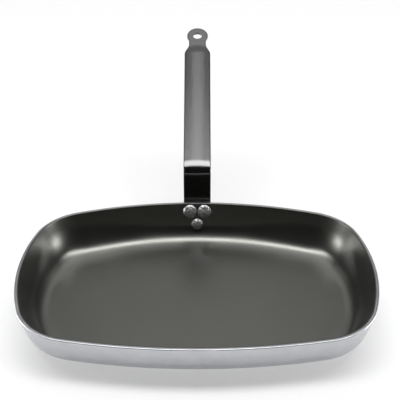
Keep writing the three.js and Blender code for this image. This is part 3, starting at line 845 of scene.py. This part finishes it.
# %% Strip
def lacquered_steel():
    """Dark dielectric with streaks along the strip, from noise stretched along its length."""
    material, tree = new_material("lacquered_rolled_steel")
    spot = add_node(tree, "ShaderNodeTexCoord").outputs["Object"]
    # Rolling lines of 0.8 mm across, drawn over 60 mm along the strip
    rolled = add_node(tree, "ShaderNodeMapping", {
        "Vector": spot, "Scale": (per_metre(0.8), per_metre(60.0), per_metre(60.0))}).outputs[0]
    lines = add_node(tree, "ShaderNodeTexNoise",
                     {"Vector": rolled, "Scale": 1.0, "Detail": 4.0}).outputs["Fac"]
    grain = add_node(tree, "ShaderNodeTexNoise",
                     {"Vector": spot, "Scale": per_metre(0.7), "Detail": 2.0}).outputs["Fac"]
    rough = add_node(tree, "ShaderNodeMapRange", {
        "Value": lines, "From Min": 0.3, "From Max": 0.7, "To Min": 0.15, "To Max": 0.22})
    tone = add_node(tree, "ShaderNodeValToRGB", {"Fac": lines})
    tone.color_ramp.elements[0].color = linear("#030303")
    tone.color_ramp.elements[1].color = linear("#060606")
    # Waves that rolling leaves, 4 mm across and 30 mm long
    wavy = add_node(tree, "ShaderNodeMapping", {
        "Vector": spot, "Scale": (per_metre(4.0), per_metre(30.0), per_metre(30.0))}).outputs[0]
    waves = add_node(tree, "ShaderNodeTexNoise",
                     {"Vector": wavy, "Scale": 1.0, "Detail": 2.0}).outputs["Fac"]
    swell = add_node(tree, "ShaderNodeBump", {
        "Height": waves, "Strength": 1.0, "Distance": 0.12 * MM}).outputs["Normal"]
    relief = add_node(tree, "ShaderNodeBump", {
        "Height": grain, "Strength": 0.2, "Distance": 0.03 * MM, "Normal": swell}).outputs["Normal"]
    shader = add_node(tree, "ShaderNodeBsdfPrincipled", {
        "Base Color": tone.outputs["Color"], "Roughness": rough.outputs["Result"],
        "IOR": 1.5, "Specular IOR Level": 0.7, "Normal": relief,
        "Coat Weight": 1.0, "Coat Roughness": 0.18, "Coat IOR": 1.6, "Coat Normal": relief})
    add_node(tree, "ShaderNodeOutputMaterial", {"Surface": shader.outputs[0]})
    return material


handle.data.materials.append(lacquered_steel())
print("handle:", [m.name for m in handle.data.materials])

# %% [markdown]
# ## Bright rivets
# The rivets are bare aluminium, cold headed and left bright. The press leaves small dents on the
# domes, so each head breaks the light of the room into a few glints. The dents are a bump on the
# surface, because they are too small to change the outline.


# %% Rivet metal
def headed_aluminium():
    """Bright metal with small dents, from a noise of a few millimetres."""
    material, tree = new_material("cold_headed_aluminium")
    spot = add_node(tree, "ShaderNodeTexCoord").outputs["Object"]
    dents = add_node(tree, "ShaderNodeTexNoise",
                     {"Vector": spot, "Scale": per_metre(4.0), "Detail": 1.0}).outputs["Fac"]
    rough = add_node(tree, "ShaderNodeMapRange", {
        "Value": dents, "From Min": 0.3, "From Max": 0.7, "To Min": 0.36, "To Max": 0.5})
    relief = add_node(tree, "ShaderNodeBump", {
        "Height": dents, "Strength": 1.0, "Distance": 1.6 * MM}).outputs["Normal"]
    shader = add_node(tree, "ShaderNodeBsdfPrincipled", {
        "Base Color": linear("#dedede"), "Metallic": 1.0,
        "Roughness": rough.outputs["Result"], "Normal": relief})
    add_node(tree, "ShaderNodeOutputMaterial", {"Surface": shader.outputs[0]})
    return material


rivet_metal = headed_aluminium()
for rivet in rivets:
    rivet.data.materials.append(rivet_metal)
print("rivets:", rivet_metal.name)

# %% [markdown]
# ## Floor and background
# The pan stands on a plain white table that reaches far enough to fill the whole view. Part of the
# table's white is always there for the camera and for reflections, as on a sheet lit from behind,
# and the rest is lit by the lamps, so the pan's soft shadow stays but is faint.

# %% Floor
FLOOR_SIZE = 80.0
FLOOR_DROP = 0.3
WHITE_SHARE = 0.4

corners = np.array([[-1, -1, 0], [1, -1, 0], [1, 1, 0], [-1, 1, 0]]) * FLOOR_SIZE / 2
corners = corners - np.array([0.0, 0.0, FLOOR_DROP * MM])
floor_mesh = bpy.data.meshes.new("table")
floor_mesh.from_pydata(corners.tolist(), [], [(0, 1, 2, 3)])
floor = bpy.data.objects.new("table", floor_mesh)
bpy.context.scene.collection.objects.link(floor)
table_white, table_tree = new_material("white_table")
lit = add_node(table_tree, "ShaderNodeBsdfDiffuse", {"Color": linear("#fefefe")}).outputs[0]
white = add_node(table_tree, "ShaderNodeEmission", {
    "Color": linear("#ffffff"), "Strength": 1.0}).outputs[0]
ray = add_node(table_tree, "ShaderNodeLightPath").outputs
mirrored = add_node(table_tree, "ShaderNodeMath", {
    0: ray["Is Glossy Ray"], 1: ray["Is Transmission Ray"]}, operation="MAXIMUM").outputs[0]
seen = add_node(table_tree, "ShaderNodeMath", {
    0: ray["Is Camera Ray"], 1: mirrored}, operation="MAXIMUM").outputs[0]
share = add_node(table_tree, "ShaderNodeMath", {0: seen, 1: WHITE_SHARE}, operation="MULTIPLY").outputs[0]
table_shader = add_node(table_tree, "ShaderNodeMixShader", {0: share, 1: lit, 2: white}).outputs[0]
add_node(table_tree, "ShaderNodeOutputMaterial", {"Surface": table_shader})
floor_mesh.materials.append(table_white)
print("floor:", FLOOR_SIZE, "m square")

# %% [markdown]
# ## World and lamps
# Cookware is photographed in a tent of white cloth, brightest overhead and dimmer towards the back.
# Flat panels on an arc behind the pan stand for that cloth, each as bright as the part of the tent
# that the film and the grip reflect. Two small boxes low at the sides put the soft spots into the far
# corners. The room itself gives very little light.

# %% World
ROOM_LIGHT = 0.03

world = bpy.data.worlds.new("studio")
bpy.context.scene.world = world
world.use_nodes = True
tree = world.node_tree
tree.nodes.clear()
room = add_node(tree, "ShaderNodeBackground", {"Color": linear("#ffffff"), "Strength": ROOM_LIGHT})
add_node(tree, "ShaderNodeOutputWorld", {"Surface": room.outputs[0]})
print("room light:", ROOM_LIGHT)


# %% Lamps
def softbox(name, place, aim, width, height, radiance):
    """Rectangular lamp at a place in metres that faces its aim: power = radiance * pi * area."""
    lamp = bpy.data.objects.new(name, bpy.data.lights.new(name, "AREA"))
    lamp.location = place
    direction = Vector(aim) - Vector(place)
    lamp.rotation_euler = direction.to_track_quat("-Z", "Y").to_euler()
    bpy.context.scene.collection.objects.link(lamp)
    lamp.data.shape = "RECTANGLE"
    lamp.data.size, lamp.data.size_y = width, height
    lamp.data.energy = radiance * np.pi * width * height
    return lamp


TENT_DISTANCE = 6.0
# Elevation from the back, spread in elevation and to the sides in degrees, and radiance
tent_panels = {
    "tent_above": (83.0, 16.0, 76.0, 7.7),
    "tent_high": (69.5, 7.0, 76.0, 1.3),
    "tent_upper": (61.0, 10.0, 76.0, 0.48),
    "tent_middle": (66.0, 18.0, 10.0, 0.9),
    "tent_behind": (47.0, 18.0, 26.0, 0.55),
    "tent_low": (24.0, 28.0, 26.0, 0.35),
}
lamps = []
for name, (elevation, *spreads, radiance) in tent_panels.items():
    rise = np.radians(elevation)
    place = (0.0, TENT_DISTANCE * np.cos(rise), TENT_DISTANCE * np.sin(rise))
    height, width = 2 * TENT_DISTANCE * np.tan(np.radians(spreads) / 2)
    lamps.append(softbox(name, place, (0.0, 0.0, 0.0), width, height, radiance))
lamps += [
    softbox("softbox_left", (-1.0, 0.1, 0.14), (0.0, 0.1, 0.0), 0.36, 0.26, 14.0),
    softbox("softbox_right", (1.0, 0.1, 0.14), (0.0, 0.1, 0.0), 0.36, 0.26, 14.0),
]
print("lamps:", [(lamp.name, round(lamp.data.energy, 1)) for lamp in lamps])

# %% [markdown]
# ## Placing the pieces on the frame
# Nothing moves on this pan, so every piece rides on the one body. Each stands for its solid in the frame,
# which is hidden.

# %% Ride and replace
dressed = [
    (pan_body, "pan_body", "pan_aluminium"),
    (film, "nonstick_coating", "nonstick_film"),
    (handle, "handle_strip", "handle_steel"),
    *((rivet, name, "rivet_metal") for rivet, name in zip(rivets, rivet_places)),
]
for piece, node, slot in dressed:
    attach(piece, "root")
    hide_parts(node)

bpy.context.scene.view_settings.view_transform = "Standard"
print(len(dressed), "pieces dressed")
